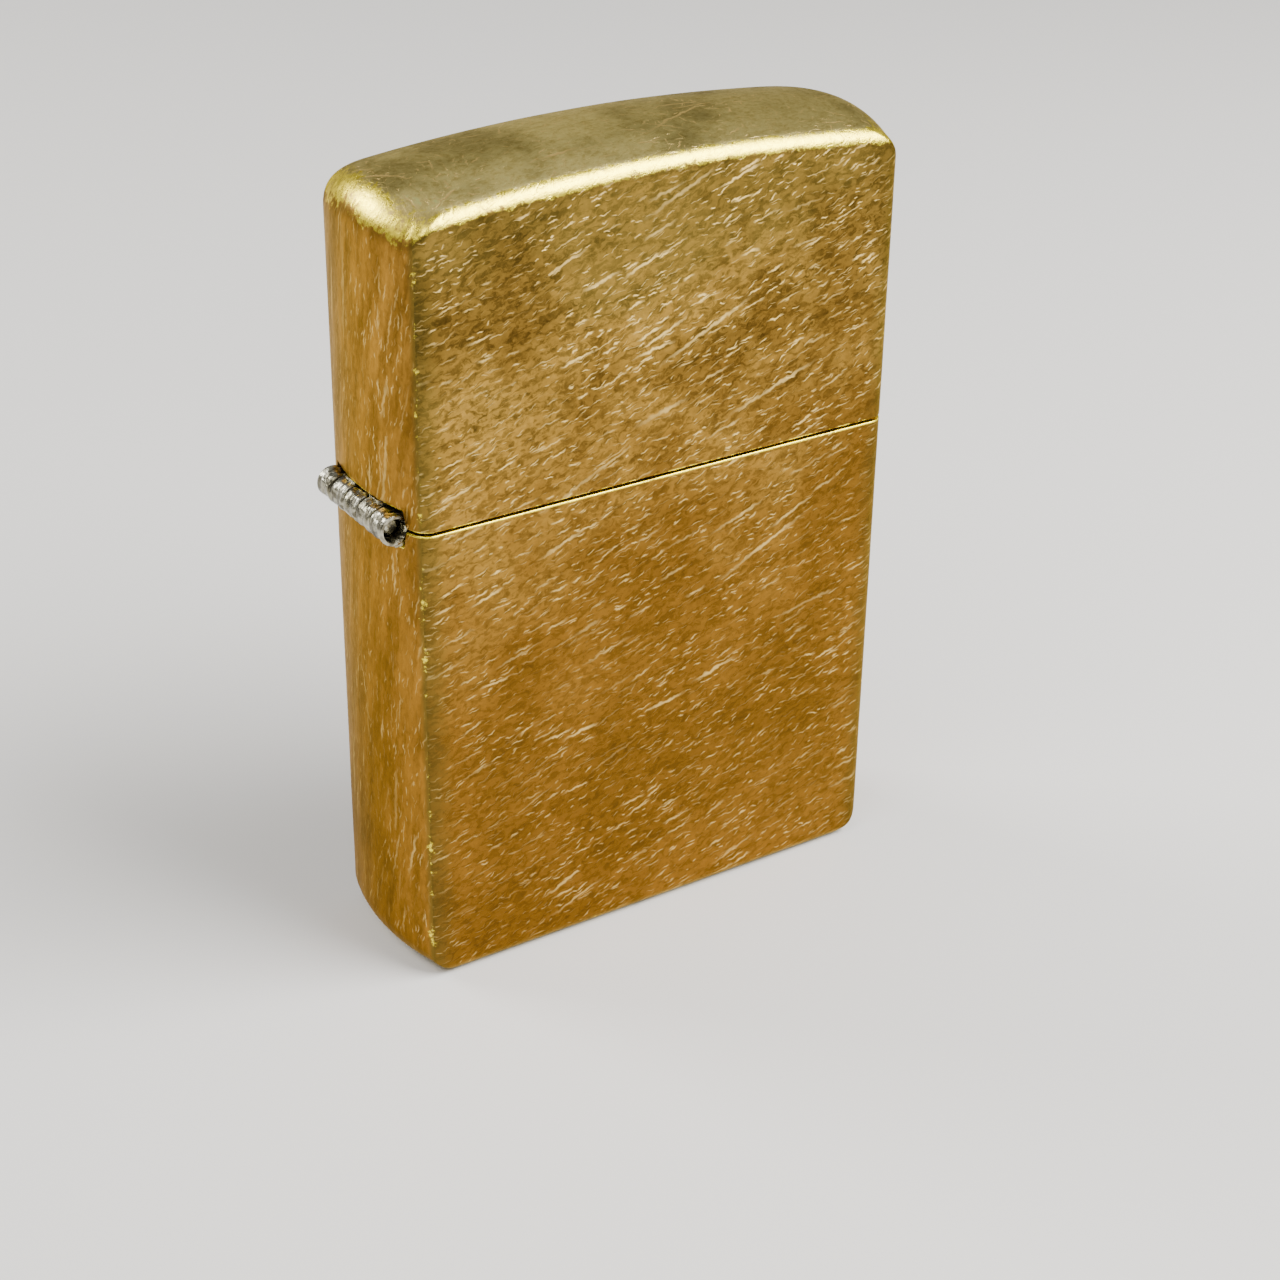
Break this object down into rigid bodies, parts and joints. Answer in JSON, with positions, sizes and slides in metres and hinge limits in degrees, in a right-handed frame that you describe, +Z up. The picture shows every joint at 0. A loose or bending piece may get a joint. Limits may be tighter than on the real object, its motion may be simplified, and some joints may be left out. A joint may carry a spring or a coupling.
{
  "type": "flip-top lighter",
  "caption": "Flip-top windproof petrol lighter, closed: hinged brass case and lid around a lift-out steel insert with chimney, wick and striking wheel.",
  "frame": {"origin": "middle of the base's flat resting face", "axes": "+Z up, from the base to the lid; +X across the width, away from the hinge; -Y towards the front face"},
  "size_m": [0.0396, 0.0124, 0.0566],
  "materials": {
    "case_brass": "raw brass, tumbled and scuffed all over, edges worn bright",
    "hinge_steel": "dull, slightly pitted steel",
    "insert_steel": "brushed stainless steel",
    "wheel_steel": "hardened steel, dark, cut teeth",
    "rivet_steel": "bright stamped steel",
    "spring_steel": "drawn spring steel",
    "fitting_brass": "turned brass",
    "ferro": "dark granular flint alloy",
    "wick_yarn": "braided cotton, charred at the top",
    "cotton": "loose cotton wadding",
    "felt": "pressed felt"
  },
  "bodies": {
    "case": {"case_bottom": "case_brass", "hinge_leaf_bottom": "hinge_steel", "hinge_pin": "hinge_steel", "insert_tank": "insert_steel", "insert_deck": "insert_steel", "chimney": "insert_steel", "wheel_axle": "rivet_steel", "cam_rivet": "rivet_steel", "cam_spring": "spring_steel", "cam_spring_rivet": "rivet_steel", "flint_tube": "fitting_brass", "flint_screw": "fitting_brass", "flint_spring": "spring_steel", "wick": "wick_yarn", "wick_eyelet": "fitting_brass", "felt_pad": "felt", "wadding_1": "cotton", "wadding_2": "cotton", "wadding_3": "cotton", "wadding_4": "cotton", "wadding_5": "cotton"},
    "lid": {"lid_shell": "case_brass", "hinge_leaf_lid": "hinge_steel"},
    "cam": {"cam_lever": "rivet_steel"},
    "wheel": {"flint_wheel": "wheel_steel"},
    "flint_feed": {"flint": "ferro", "spring_tip": "fitting_brass"}
  },
  "joints": [
    {"name": "lid_hinge", "type": "hinge", "parent": "case", "child": "lid", "pos_m": [-0.0192, 0, 0.03415], "axis": [0, -1, 0], "range_deg": [0, 135]},
    {"name": "cam_pivot", "type": "hinge", "parent": "case", "child": "cam", "pos_m": [-0.0126, 0, 0.0385], "axis": [0, -1, 0], "range_deg": [-54, 0]},
    {"name": "wheel_spin", "type": "hinge", "parent": "case", "child": "wheel", "pos_m": [0.0099, 0, 0.0426], "axis": [0, 1, 0], "continuous": true},
    {"name": "flint_slide", "type": "slide", "parent": "case", "child": "flint_feed", "axis": [0, 0, 1], "range_m": [-0.0015, 0], "stiffness_N_per_m": 60, "springref_m": 0.0005, "deforming": ["flint_spring"]}
  ],
  "couplings": [
    {"joint": "cam_pivot", "follows": "lid_hinge", "ratio": -0.4}
  ]
}
